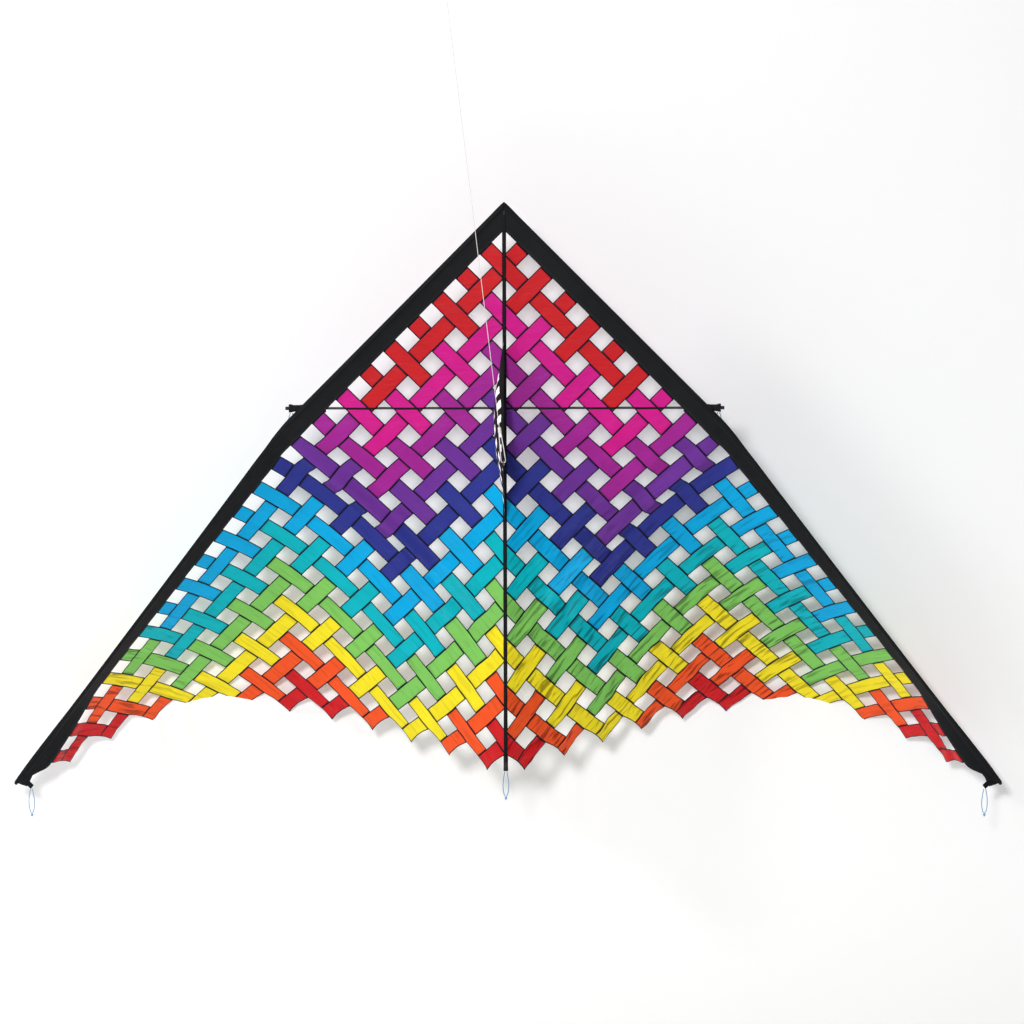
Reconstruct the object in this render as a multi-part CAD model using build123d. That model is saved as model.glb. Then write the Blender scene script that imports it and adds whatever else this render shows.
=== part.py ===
from build123d import *

import math
import os

import numpy as np

# A large delta kite in flight trim, millimetres.  +X is the kite's left-to-right as seen by the
# flyer, +Y points away from the flyer and +Z runs up the spine to the nose.  The origin is the
# centre of the tow eyelet in the keel.

# ---- sail -----------------------------------------------------------------------------------
CELL = 82.0            # distance between neighbouring woven strips, centre to centre
SHELF_CELLS = 1.0      # the spreader keeps the cloth forward down to this far below itself
SHELF_BACK = 3.5       # furthest back that the cloth above that line goes
VENT_ROWS = 21         # vents lie at (a, b) with a + b up to this number
CLOTH = 0.8            # thickness of the sail and its facings
WIND_PUSH = 0.0007     # strength of the wind on the net, cells per step squared
NET_STEPS = 500
NET_DAMPING = 0.94
NET_SHEAR = 0.3        # how much of the diagonal stretch is taken out in one step
NET_START_SLOPE = 0.01 # first bulge of the net, per length from the spine

# ---- spars ----------------------------------------------------------------------------------
SPAR_DIAMETER = 6.0
SPAR_BORE = 4.0
FERRULE_FIT = 0.1      # ferrule smaller than the bore it fills
FERRULE_LENGTH = 120.0
SLEEVE_CLEAR = 0.3     # radial gap between a spar and its sleeve
SLEEVE_WALL = 1.2
CAP_WALL = 1.2
CAP_LENGTH = 18.0
CAP_GRIP = 12.0        # length of spar inside a cap
CAP_EDGE = 1.2
GAP = 0.5              # gap between neighbours that must not touch

# ---- leading edge ---------------------------------------------------------------------------
LE_NOSE_GAP = 48.0     # from the nose point to the first end of the leading edge spar
LE_LENGTH_CELLS = 23.7
LE_TOP_ANGLE = 45.0    # from the spine, above the spreader
LE_LOW_ANGLE = 37.3    # from the spine, below the spreader
LE_BACK_ANGLE = 11.5   # swept back by the wind below the spreader
LE_BEND_BELOW = 33.0   # the bend starts this far below the spreader, along the spar
LE_BEND_RADIUS = 300.0
LE_JOINT = 1000.0      # where the two leading edge lengths meet

# ---- spine and keel -------------------------------------------------------------------------
SPINE_BACK = 2.5       # spine axis behind the sail
SPINE_TAIL = 32.0      # spine end below the sail's lowest woven strip
SPINE_TOP = 10.0       # spine end below the nose point
SPINE_JOINT = 700.0
HINGE_RADIUS = 5.6     # inner edge of each sail half from the fold axis
KEEL_TOP = 303.0       # below the nose
KEEL_BOTTOM = 761.0
KEEL_DEPTH = 217.0
KEEL_ROOT = 3.6        # keel cloth starts this far in front of the fold axis
KEEL_THICKNESS = 1.0
KEEL_APEX = 18.0       # length of the keel's blunt front edge
TOW_INSET = 12.0       # tow eyelet behind the keel's front edge
TOW_BELOW_NOSE = 589.0
EYELET_HOLE = 8.0
EYELET_RIM = 14.0
EYELET_THICKNESS = 3.0
EYELET_WALL = 1.2
TAIL_TAB_DROP = 6.0    # spine tail tab below the spine's cap

# ---- spreader -------------------------------------------------------------------------------
SPREADER_BELOW_NOSE = 485.0
POCKET_HEIGHT = 20.0
POCKET_OUTSIDE = 34.0  # pocket length outside the leading edge
POCKET_INSIDE = 55.0
POCKET_WALL = 3.0
POCKET_CORNER = 4.0
SPREADER_CAP_LENGTH = 8.0
SPREADER_CAP_GRIP = 5.0
CENTRE_FERRULE_LENGTH = 50.0
CENTRE_FERRULE_DIAMETER = 9.0
CENTRE_GAP = 2.0       # between the ferrule and the right half

# ---- cords ----------------------------------------------------------------------------------
CORD = 2.2
LINE = 1.5
TIP_LOOP_LENGTH = 62.0
SPREADER_LOOP_LENGTH = 38.0
LOOP_WIDTH = 14.0
LOOP_MOUTH = 0.35      # loop's width at its tab, as a share of its full width
LOOP_BEHIND = 5.0      # spreader loop behind the spreader axis
LOOP_FROM_END = 5.0    # spreader loop from the pocket's outer end
KNOT = 7.0
TOW_LOOP_LENGTH = 86.0
TOW_LOOP_SPREAD = 4.5  # half the width of the tow loop at the eyelet
TOW_LOOP_MOUTH = 2.4   # half its width at the clip
TOW_LOOP_ROOT = 14.0
CLIP_LENGTH = 16.0
CLIP_DIAMETER = 8.0
CLIP_EDGE = 2.0
LINE_LENGTH = 1180.0
LINE_LIFT = 60.0       # line's angle above the horizontal, towards the nose
LINE_LEAN = 5.0        # line's lean to the left
LINE_KNOT = 6.0
TAB_WIDTH = 16.0
TAB_THICKNESS = 1.6
TAIL_TAB_WIDTH = 11.2

SIDES = {"left": -1, "right": 1}
TOW_DEPTH = KEEL_DEPTH - TOW_INSET
SPINE_LENGTH = (VENT_ROWS + 2) * CELL / math.sqrt(2) + SPINE_TAIL
WING_LENGTH = LE_LENGTH_CELLS * CELL
SLEEVE_RADIUS = SPAR_DIAMETER / 2 + SLEEVE_CLEAR + SLEEVE_WALL
SPREADER_BACK = SPINE_BACK + SLEEVE_RADIUS + CENTRE_FERRULE_DIAMETER / 2 + GAP
CORD_CLEAR = CORD / 2 + GAP
TOW = Vector(0, -TOW_DEPTH, -TOW_BELOW_NOSE)


def place(x, y, z):
    """A point given from the nose, in the kite's own frame."""
    return Vector(x, y, z) - TOW


# ---- leading edge curve ---------------------------------------------------------------------
def leading_edge_directions():
    top, low, back = (math.radians(v) for v in (LE_TOP_ANGLE, LE_LOW_ANGLE, LE_BACK_ANGLE))
    upper = np.array([math.sin(top), 0.0, -math.cos(top)])
    lower = np.array([math.sin(low) * math.cos(back), math.sin(back), -math.cos(low) * math.cos(back)])
    return upper, lower


def leading_edge_turn():
    upper, lower = leading_edge_directions()
    return math.acos(float(upper @ lower))


def bend_start():
    """The spreader's pocket holds the spar straight, and it bends below that."""
    return SPREADER_BELOW_NOSE / math.cos(math.radians(LE_TOP_ANGLE)) + LE_BEND_BELOW


def leading_edge_point(distance):
    """Spar axis of the right wing at a distance from the nose, from the nose."""
    upper, lower = leading_edge_directions()
    turn = leading_edge_turn()
    start = bend_start()
    across = (lower - upper * math.cos(turn)) / math.sin(turn)
    if distance <= start:
        return upper * distance
    t = min((distance - start) / LE_BEND_RADIUS, turn)
    point = upper * start + LE_BEND_RADIUS * (upper * math.sin(t) + across * (1 - math.cos(t)))
    return point + lower * max(0.0, distance - start - LE_BEND_RADIUS * turn)


def bend_corner():
    upper, _ = leading_edge_directions()
    return upper * (bend_start() + LE_BEND_RADIUS * math.tan(leading_edge_turn() / 2))


# ---- sail net -------------------------------------------------------------------------------
LAST = 2 * VENT_ROWS + 4


def net_nodes():
    """Half cells (m, n): m along the leading edge, n in from it, spine where m equals n."""
    return [(m, n) for n in range(-1, LAST // 2 + 1) for m in range(n, LAST - n + 1)]


def billow():
    """Let the wind push a net of cloth that hangs between the leading edge and the spine."""
    nodes = net_nodes()
    index = {node: i for i, node in enumerate(nodes)}
    half = CELL / 2
    points = np.zeros((len(nodes), 3))
    free = np.ones(len(nodes))
    for (m, n), i in index.items():
        down = (n + 1) * half * math.sqrt(2)
        points[i] = np.array([0, 0, -down]) + leading_edge_point((m - n) * half)
        if n == -1:
            points[i] = leading_edge_point((m + 1) * half)
        if n == -1 or m == n or (m, n) == (LAST, 0):
            free[i] = 0.0
        else:
            points[i][1] += NET_START_SLOPE * (m - n) * half
    groups = []
    for dm, dn, share in ((1, 0, 1.0), (0, 1, 1.0), (1, 1, NET_SHEAR), (1, -1, NET_SHEAR)):
        length = half * math.hypot(dm, dn)
        for parity in (0, 1):
            pairs = [
                (i, index[(m + dm, n + dn)])
                for (m, n), i in index.items()
                if (m + dm, n + dn) in index and (m if dm else n) % 2 == parity
            ]
            pairs = np.array([p for p in pairs if free[p[0]] + free[p[1]] > 0])
            groups.append((pairs[:, 0], pairs[:, 1], length, share))
    shelf = -SPREADER_BELOW_NOSE - SHELF_CELLS * CELL
    speed = np.zeros_like(points)
    for _ in range(NET_STEPS):
        speed *= NET_DAMPING
        speed[:, 1] += WIND_PUSH * CELL * free
        moved = points + speed * free[:, None]
        for one, two, length, share in groups:
            gap = moved[two] - moved[one]
            span = np.linalg.norm(gap, axis=1)
            pull = (share * (span - length) / (span * (free[one] + free[two])))[:, None] * gap
            moved[one] += pull * free[one][:, None]
            moved[two] -= pull * free[two][:, None]
        above = (moved[:, 2] > shelf) & (free > 0)
        moved[above, 1] = np.minimum(moved[above, 1], SHELF_BACK)
        speed = moved - points
        points = moved
    return index, points


def is_cloth(m, n):
    """Whether the half-cell square from (m, n) is cloth, and not a vent or outside the sail."""
    return (m % 2 == 1 or n % 2 == 1) and m + n <= LAST - 2


def sail_node_points(index, points):
    """Net points of the right half, held clear of the fold axis."""
    out = {}
    for node, i in index.items():
        x, y, z = points[i]
        if node[0] == node[1]:
            x = HINGE_RADIUS
        out[node] = (x, y, z)
    return out


def sheet_solid(corners, triangles, side):
    """A closed thin solid: the triangles in front and behind, and a wall on every free edge."""
    front = {k: place(side * p[0], p[1] - CLOTH / 2, p[2]) for k, p in corners.items()}
    back = {k: place(side * p[0], p[1] + CLOTH / 2, p[2]) for k, p in corners.items()}
    faces = []
    edges = {}
    for tri in triangles:
        faces.append(Face(Wire.make_polygon([front[k] for k in tri])))
        faces.append(Face(Wire.make_polygon([back[k] for k in tri])))
        for a, b in zip(tri, tri[1:] + tri[:1]):
            edges[frozenset((a, b))] = edges.get(frozenset((a, b)), 0) + 1
    for edge, uses in edges.items():
        if uses == 1:
            a, b = tuple(edge)
            faces.append(Face(Wire.make_polygon([front[a], front[b], back[b], back[a]])))
    return Solid(Shell(faces))


def sail(points, side):
    triangles = []
    for m, n in points:
        if n < 0 or m < n or not is_cloth(m, n):
            continue
        if m == n:
            triangles.append(((m, n), (m + 1, n), (m + 1, n + 1)))
        else:
            triangles.append(((m, n), (m + 1, n), (m + 1, n + 1)))
            triangles.append(((m, n), (m + 1, n + 1), (m, n + 1)))
    used = {k for t in triangles for k in t}
    return sheet_solid({k: points[k] for k in used}, triangles, side)


def facing(points, side):
    """The cloth band between the leading edge sleeve and the first row of vents."""
    corners = {}
    share = (SLEEVE_RADIUS + GAP) / (CELL / 2)
    for m in range(0, LAST):
        inner = np.array(points[(m, 0)])
        spar = np.array(points[(m, -1)])
        corners[(m, 0)] = points[(m, 0)]
        corners[(m, -1)] = tuple(spar + (inner - spar) * share)
    triangles = []
    for m in range(0, LAST - 1):
        triangles.append(((m, -1), (m + 1, -1), (m + 1, 0)))
        triangles.append(((m, -1), (m + 1, 0), (m, 0)))
    return sheet_solid(corners, triangles, side)


# ---- spars and their fittings ---------------------------------------------------------------
def pipe(path, outer, bore=0.0):
    start = Plane(origin=path @ 0, z_dir=path % 0)
    ring = start * Circle(outer / 2)
    if bore > 0:
        ring -= start * Circle(bore / 2)
    return sweep(ring, path=path)


def wing_point(distance, side):
    x, y, z = leading_edge_point(distance)
    return place(side * x, y, z)


def leading_edge_path(start, end, side):
    """Spar axis between two distances from the nose."""
    corner = bend_corner()
    first = bend_start()
    last = first + LE_BEND_RADIUS * leading_edge_turn()
    if start < first and end > last:
        middle = place(side * corner[0], corner[1], corner[2])
        return FilletPolyline(
            wing_point(start, side), middle, wing_point(end, side), radius=LE_BEND_RADIUS
        )
    return Line(wing_point(start, side), wing_point(end, side))


def cap(base, direction, length=CAP_LENGTH, grip=CAP_GRIP):
    """A rubber cap whose closed end is at base plus its length along direction."""
    plane = Plane(origin=base, z_dir=direction)
    outer = SPAR_DIAMETER / 2 + CAP_WALL
    body = plane * Pos(0, 0, length / 2) * Cylinder(outer, length)
    body = fillet(body.edges().filter_by(GeomType.CIRCLE).sort_by_distance(base)[-1], CAP_EDGE)
    return body - plane * Pos(0, 0, grip / 2) * Cylinder(SPAR_DIAMETER / 2, grip)


def webbing_tab(spar_point, spar_direction, drop, reach):
    """A webbing ring around a spar with a flat end that stands away from it."""
    plane = Plane(origin=spar_point, x_dir=drop, z_dir=spar_direction)
    ring = Cylinder(SLEEVE_RADIUS, TAB_WIDTH)
    blade = Pos(reach / 2, 0, 0) * Box(reach, TAB_THICKNESS, TAB_WIDTH)
    bore = Cylinder(SPAR_DIAMETER / 2 + SLEEVE_CLEAR / 2, TAB_WIDTH + 2)
    return plane * (ring + blade - bore)


# ---- cords ----------------------------------------------------------------------------------
def loop_route(length):
    """A hanging loop from its tab, front view: down one side, round the end and up again."""
    w = LOOP_WIDTH / 2
    mouth = LOOP_MOUTH * w
    left = [(-mouth, 0), (-w, -0.35 * length), (-w, -0.85 * length + w), (-0.4 * w, -length)]
    return left + [(-x, z) for x, z in reversed(left)]


def corded(route):
    """A cord round a route, each corner rounded as widely as its two runs allow."""
    radii = []
    for a, b, c in zip(route, route[1:], route[2:]):
        turn = math.radians((b - a).get_angle(c - b))
        radii.append(0.45 * min((b - a).length, (c - b).length) / math.tan(turn / 2))
    return pipe(FilletPolyline(*route, radius=radii), CORD)


def tail_loop(top, length):
    return corded([top + Vector(x, 0, z) for x, z in loop_route(length)])


def knot(centre, size):
    return Pos(*centre) * Sphere(size / 2)


def loop_knot(top, length):
    return knot(top + Vector(0, 0, -length - KNOT / 2 - CORD / 2), KNOT)


def line_direction():
    lift, lean = math.radians(LINE_LIFT), math.radians(LINE_LEAN)
    return Vector(-math.sin(lean), -math.cos(lean) * math.cos(lift), math.cos(lean) * math.sin(lift))


# ---- assembly -------------------------------------------------------------------------------
def wing(name, side, net_points, nodes):
    start, end = LE_NOSE_GAP, WING_LENGTH
    upper = leading_edge_path(start, LE_JOINT, side)
    lower = Line(wing_point(LE_JOINT, side), wing_point(end, side))
    half = FERRULE_LENGTH / 2
    ferrule = Line(wing_point(LE_JOINT - half, side), wing_point(LE_JOINT + half, side))
    nodes[f"{name}_sail"] = sail(net_points, side)
    nodes[f"{name}_leading_edge_facing"] = facing(net_points, side)
    nodes[f"{name}_leading_edge_upper_spar"] = pipe(upper, SPAR_DIAMETER, SPAR_BORE)
    nodes[f"{name}_leading_edge_lower_spar"] = pipe(lower, SPAR_DIAMETER, SPAR_BORE)
    nodes[f"{name}_leading_edge_ferrule"] = pipe(ferrule, SPAR_BORE - FERRULE_FIT)
    tip_direction = (wing_point(end, side) - wing_point(end - CAP_GRIP, side)).normalized()
    nose_direction = (wing_point(start, side) - wing_point(start + CAP_GRIP, side)).normalized()
    tip_cap = cap(wing_point(end - CAP_GRIP, side), tip_direction)
    nose_cap = cap(wing_point(start + CAP_GRIP, side), nose_direction)
    nodes[f"{name}_leading_edge_end_caps"] = Compound([tip_cap, nose_cap])

    tab_at = end - CAP_GRIP - GAP - TAB_WIDTH / 2
    sleeve = leading_edge_path(start + CAP_GRIP + GAP, tab_at - TAB_WIDTH / 2 - GAP, side)
    bore = SPAR_DIAMETER + 2 * SLEEVE_CLEAR
    nodes[f"{name}_leading_edge_sleeve"] = pipe(sleeve, 2 * SLEEVE_RADIUS, bore)

    x, y, z = net_points[(LAST, 0)]
    inwards = place(side * x, y, z) - wing_point(tab_at, side)
    drop = (inwards - tip_direction * inwards.dot(tip_direction)).normalized()
    reach = inwards.dot(drop)
    nodes[f"{name}_tip_tab"] = webbing_tab(wing_point(tab_at, side), tip_direction, drop, reach)
    below = CORD_CLEAR + TAB_WIDTH * abs(tip_direction.Z) / 2
    tip_top = wing_point(tab_at, side) + drop * reach - Vector(0, 0, below)
    nodes[f"{name}_tip_loop"] = tail_loop(tip_top, TIP_LOOP_LENGTH)
    nodes[f"{name}_tip_knot"] = loop_knot(tip_top, TIP_LOOP_LENGTH)


def spreader_line(start_x, end_x):
    return Line(
        place(start_x, SPREADER_BACK, -SPREADER_BELOW_NOSE),
        place(end_x, SPREADER_BACK, -SPREADER_BELOW_NOSE),
    )


def spreader_half(name, side, nodes):
    """One half of the spreader, from its pocket on the leading edge to the middle."""
    edge = SPREADER_BELOW_NOSE * math.tan(math.radians(LE_TOP_ANGLE))
    outer_x = edge + POCKET_OUTSIDE
    z = -SPREADER_BELOW_NOSE
    length = POCKET_OUTSIDE + POCKET_INSIDE
    front = SLEEVE_RADIUS + 2 * GAP
    depth = SPREADER_BACK + SPAR_DIAMETER / 2 + POCKET_WALL - front
    middle = place(side * (outer_x - length / 2), front + depth / 2, z)
    pocket = Pos(*middle) * Box(length, depth, POCKET_HEIGHT)
    pocket = fillet(pocket.edges().filter_by(Axis.X), POCKET_CORNER)
    bore = spreader_line(side * (outer_x + GAP), side * (outer_x - length - GAP))
    nodes[f"{name}_spreader_pocket"] = pocket - pipe(bore, SPAR_DIAMETER)

    rod_end = outer_x + SPREADER_CAP_GRIP + GAP
    inner_x = GAP if side < 0 else CENTRE_FERRULE_LENGTH / 2 + CENTRE_GAP
    rod = spreader_line(side * rod_end, side * inner_x)
    nodes[f"{name}_spreader_rod"] = pipe(rod, SPAR_DIAMETER, SPAR_BORE)
    cap_base = place(side * (rod_end - SPREADER_CAP_GRIP), SPREADER_BACK, z)
    nodes[f"{name}_spreader_end_cap"] = cap(
        cap_base, Vector(side, 0, 0), SPREADER_CAP_LENGTH, SPREADER_CAP_GRIP
    )

    loop_z = z - POCKET_HEIGHT / 2 - CORD_CLEAR - GAP
    loop_top = place(side * (outer_x - LOOP_FROM_END), SPREADER_BACK + LOOP_BEHIND, loop_z)
    nodes[f"{name}_spreader_loop"] = tail_loop(loop_top, SPREADER_LOOP_LENGTH)
    nodes[f"{name}_spreader_knot"] = loop_knot(loop_top, SPREADER_LOOP_LENGTH)


def spreader_ferrule(nodes):
    half = CENTRE_FERRULE_LENGTH / 2
    outside = pipe(spreader_line(-half, half), CENTRE_FERRULE_DIAMETER)
    nodes["spreader_ferrule"] = outside - pipe(spreader_line(-half - GAP, half + GAP), SPAR_DIAMETER)


def spine_line(start_z, end_z):
    return Line(place(0, SPINE_BACK, start_z), place(0, SPINE_BACK, end_z))


def spine(nodes):
    top, joint, bottom = -SPINE_TOP, -SPINE_JOINT, -SPINE_LENGTH
    half = FERRULE_LENGTH / 2
    nodes["spine_upper_spar"] = pipe(spine_line(top, joint), SPAR_DIAMETER, SPAR_BORE)
    nodes["spine_lower_spar"] = pipe(spine_line(joint, bottom), SPAR_DIAMETER, SPAR_BORE)
    nodes["spine_ferrule"] = pipe(spine_line(joint + half, joint - half), SPAR_BORE - FERRULE_FIT)
    top_cap = cap(place(0, SPINE_BACK, top - CAP_GRIP), Vector(0, 0, 1))
    bottom_cap = cap(place(0, SPINE_BACK, bottom + CAP_GRIP), Vector(0, 0, -1))
    nodes["spine_end_caps"] = Compound([top_cap, bottom_cap])
    tab_z = bottom + CAP_GRIP + GAP + TAB_WIDTH / 2
    sleeve = spine_line(top - CAP_GRIP - GAP, tab_z + TAB_WIDTH / 2 + GAP)
    bore = SPAR_DIAMETER + 2 * SLEEVE_CLEAR
    nodes["spine_sleeve"] = pipe(sleeve, 2 * SLEEVE_RADIUS, bore)

    blade_y = SPAR_DIAMETER / 2 + CAP_WALL + GAP + TAB_THICKNESS / 2
    ring = Cylinder(blade_y, TAB_WIDTH)
    ring -= Cylinder(SPAR_DIAMETER / 2 + SLEEVE_CLEAR / 2, TAB_WIDTH + GAP)
    drop = TAB_WIDTH / 2 + CAP_LENGTH + TAIL_TAB_DROP
    blade = Box(TAIL_TAB_WIDTH, TAB_THICKNESS, drop + TAB_WIDTH / 2)
    blade = Pos(0, blade_y, (TAB_WIDTH / 2 - drop) / 2) * blade
    nodes["spine_tail_tab"] = Pos(*place(0, SPINE_BACK, tab_z)) * (ring + blade)
    loop_top = place(0, SPINE_BACK + blade_y, tab_z - drop - CORD_CLEAR)
    nodes["spine_loop"] = tail_loop(loop_top, TIP_LOOP_LENGTH)
    nodes["spine_knot"] = loop_knot(loop_top, TIP_LOOP_LENGTH)


def keel(nodes):
    outline = Face(
        Wire.make_polygon(
            [
                place(0, -KEEL_ROOT, -KEEL_TOP),
                place(0, -KEEL_DEPTH, -TOW_BELOW_NOSE + KEEL_APEX / 2),
                place(0, -KEEL_DEPTH, -TOW_BELOW_NOSE - KEEL_APEX / 2),
                place(0, -KEEL_ROOT, -KEEL_BOTTOM),
            ]
        )
    )
    panel = extrude(outline, amount=KEEL_THICKNESS / 2, dir=(1, 0, 0), both=True)
    across = Plane(origin=(0, 0, 0), z_dir=(1, 0, 0))
    barrel_radius = EYELET_HOLE / 2 + EYELET_WALL
    nodes["keel_panel"] = panel - across * Cylinder(barrel_radius, EYELET_THICKNESS)
    flange = (EYELET_THICKNESS - KEEL_THICKNESS) / 2
    eyelet = Cylinder(barrel_radius, KEEL_THICKNESS)
    for s in (-1, 1):
        eyelet += Pos(0, 0, s * (KEEL_THICKNESS + flange) / 2) * Cylinder(EYELET_RIM / 2, flange)
    nodes["tow_eyelet"] = across * (eyelet - Cylinder(EYELET_HOLE / 2, EYELET_THICKNESS))


def tow_line(nodes):
    """A loop through the eyelet, the clip and the flying line, all along the line's pull."""
    pull = line_direction()
    grip = pull * TOW_LOOP_LENGTH
    root = pull * TOW_LOOP_ROOT
    left = [
        grip - Vector(TOW_LOOP_MOUTH, 0, 0),
        root - Vector(TOW_LOOP_SPREAD + CORD / 2, 0, 0),
        Vector(-TOW_LOOP_SPREAD, 0, 0),
    ]
    right = [
        Vector(TOW_LOOP_SPREAD, 0, 0),
        root + Vector(TOW_LOOP_SPREAD + CORD / 2, 0, 0),
        grip + Vector(TOW_LOOP_MOUTH, 0, 0),
    ]
    nodes["tow_loop"] = corded(left + right)
    clip_start = grip + pull * (CORD / 2)
    clip_plane = Plane(origin=clip_start + pull * (CLIP_LENGTH / 2), z_dir=pull)
    clip = Cylinder(CLIP_DIAMETER / 2, CLIP_LENGTH)
    nodes["line_clip"] = clip_plane * fillet(clip.edges(), CLIP_EDGE)
    line_start = clip_start + pull * CLIP_LENGTH
    line_end = line_start + pull * LINE_LENGTH
    nodes["flying_line"] = pipe(Line(line_start, line_end), LINE)
    nodes["line_end_knot"] = knot(line_end + pull * (LINE_KNOT / 2), LINE_KNOT)


def kite():
    nodes = {}
    index, points = billow()
    net_points = sail_node_points(index, points)
    for name, side in SIDES.items():
        wing(name, side, net_points, nodes)
        spreader_half(name, side, nodes)
    spreader_ferrule(nodes)
    spine(nodes)
    keel(nodes)
    tow_line(nodes)
    return nodes


os.makedirs("parts", exist_ok=True)
for name, shape in kite().items():
    export_step(shape, f"parts/{name}.step")
    print(name, round(shape.volume, 1))
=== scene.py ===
import math

import bmesh
import bpy
import numpy as np
from mathutils import Matrix, Vector, noise


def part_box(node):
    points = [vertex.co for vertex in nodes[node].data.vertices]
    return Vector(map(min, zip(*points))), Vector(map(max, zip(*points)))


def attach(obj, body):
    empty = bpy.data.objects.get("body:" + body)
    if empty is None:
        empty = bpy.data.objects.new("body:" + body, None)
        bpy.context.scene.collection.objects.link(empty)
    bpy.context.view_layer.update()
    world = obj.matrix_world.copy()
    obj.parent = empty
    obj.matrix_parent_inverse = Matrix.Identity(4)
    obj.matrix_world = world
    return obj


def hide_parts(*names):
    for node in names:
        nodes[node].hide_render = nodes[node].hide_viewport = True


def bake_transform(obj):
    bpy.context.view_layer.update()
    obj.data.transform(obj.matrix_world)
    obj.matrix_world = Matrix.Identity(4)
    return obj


# A large delta kite with a printed basket-weave sail, in flight trim.  Metres, in the frame of the
# CAD: +X to the flyer's right, +Y away from the flyer, +Z towards the nose.
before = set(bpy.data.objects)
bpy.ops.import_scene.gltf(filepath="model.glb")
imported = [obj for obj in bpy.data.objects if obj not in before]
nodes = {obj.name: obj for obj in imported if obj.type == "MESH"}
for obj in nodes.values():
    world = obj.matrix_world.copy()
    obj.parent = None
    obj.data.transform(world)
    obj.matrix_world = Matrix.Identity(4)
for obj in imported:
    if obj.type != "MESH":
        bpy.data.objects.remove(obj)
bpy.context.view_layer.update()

# ---- measures shared with the part ------------------------------------------------------------
CELL = 0.082
HALF = CELL / 2
VENT_ROWS = 21
LAST = 2 * VENT_ROWS + 4
SHELF_CELLS = 1.0
SHELF_BACK = 0.0035
WIND_PUSH = 0.0007
NET_STEPS = 500
NET_DAMPING = 0.94
NET_SHEAR = 0.3
NET_START_SLOPE = 0.01
LE_TOP_ANGLE = math.radians(45.0)
LE_LOW_ANGLE = math.radians(37.3)
LE_BACK_ANGLE = math.radians(11.5)
LE_BEND_BELOW = 0.033
LE_BEND_RADIUS = 0.300
SPREADER_BELOW_NOSE = 0.485
SPINE_BACK = 0.0025
WING_LENGTH = 23.7 * CELL
SLEEVE_RADIUS = 0.0045
CAP_GRIP = 0.012
GAP = 0.0005
TAB_WIDTH = 0.016
TAIL_TAB_WIDTH = 0.0112
KEEL_TOP = 0.303
KEEL_BOTTOM = 0.761
KEEL_DEPTH = 0.217
KEEL_ROOT = 0.0036
KEEL_APEX = 0.018
TOW_DEPTH = 0.205
TOW_BELOW_NOSE = 0.589
CORD = 0.0022
LINE = 0.0015
TIP_LOOP_LENGTH = 0.062
SPREADER_LOOP_LENGTH = 0.038
LOOP_WIDTH = 0.014
LOOP_MOUTH = 0.35
KNOT = 0.007
LINE_KNOT = 0.006
TOW_LOOP_LENGTH = 0.086
TOW_LOOP_SPREAD = 0.0045
TOW_LOOP_MOUTH = 0.0024
TOW_LOOP_ROOT = 0.014
CLIP_LENGTH = 0.016
LINE_LENGTH = 1.180
LINE_LIFT = math.radians(60.0)
LINE_LEAN = math.radians(5.0)

NOSE = Vector((0.0, TOW_DEPTH, TOW_BELOW_NOSE))
SIDES = {"left": -1, "right": 1}


# ---- camera -----------------------------------------------------------------------------------
CAMERA_AZIMUTH = math.radians(-0.79)
CAMERA_ELEVATION = math.radians(8.196)
CAMERA_ROLL = math.radians(0.185)
CAMERA_DISTANCE = 7.308
CAMERA_LENS = 106.63
CAMERA_SHIFT = (0.00693, -0.01440)
CAMERA_AIM = NOSE + Vector((0.0, 0.0, -0.7))


def add_camera():
    azimuth, elevation, roll = CAMERA_AZIMUTH, CAMERA_ELEVATION, CAMERA_ROLL
    forward = Vector(
        (
            math.sin(azimuth) * math.cos(elevation),
            math.cos(azimuth) * math.cos(elevation),
            -math.sin(elevation),
        )
    )
    right = Vector((math.cos(azimuth), -math.sin(azimuth), 0.0))
    up = right.cross(forward)
    rolled_right = right * math.cos(roll) - up * math.sin(roll)
    rolled_up = right * math.sin(roll) + up * math.cos(roll)
    data = bpy.data.cameras.new("camera")
    data.lens = CAMERA_LENS
    data.sensor_width = 36.0
    data.shift_x, data.shift_y = CAMERA_SHIFT
    camera = bpy.data.objects.new("camera", data)
    bpy.context.scene.collection.objects.link(camera)
    turn = Matrix((rolled_right, rolled_up, -forward)).transposed()
    camera.matrix_world = Matrix.Translation(CAMERA_AIM - forward * CAMERA_DISTANCE) @ turn.to_4x4()
    bpy.context.scene.camera = camera


add_camera()


# ---- material building ------------------------------------------------------------------------
def new_material(name):
    """A new material, its node tree and its shader."""
    material = bpy.data.materials.new(name)
    material.use_nodes = True
    tree = material.node_tree
    shader = next(n for n in tree.nodes if n.type == "BSDF_PRINCIPLED")
    return material, tree, shader


def add(tree, kind, **values):
    node = tree.nodes.new(kind)
    for key, value in values.items():
        setattr(node, key, value)
    return node


def feed(tree, socket, value):
    """Put another node's output, a number or a colour into a socket."""
    if isinstance(value, bpy.types.NodeSocket):
        tree.links.new(value, socket)
    else:
        socket.default_value = value


def math_node(tree, operation, *values):
    node = add(tree, "ShaderNodeMath", operation=operation)
    for socket, value in zip(node.inputs, values):
        feed(tree, socket, value)
    return node.outputs[0]


def mix_colour(tree, factor, a, b, blend="MIX"):
    node = add(tree, "ShaderNodeMix", data_type="RGBA", blend_type=blend)
    for slot_number, value in ((0, factor), (6, a), (7, b)):
        feed(tree, node.inputs[slot_number], value)
    return node.outputs[2]


def shade(hex_code):
    """A linear colour from an ordinary six-digit colour code."""
    out = []
    for at in (0, 2, 4):
        v = int(hex_code[at : at + 2], 16) / 255
        out.append(v / 12.92 if v <= 0.04045 else ((v + 0.055) / 1.055) ** 2.4)
    return (*out, 1.0)


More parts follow.
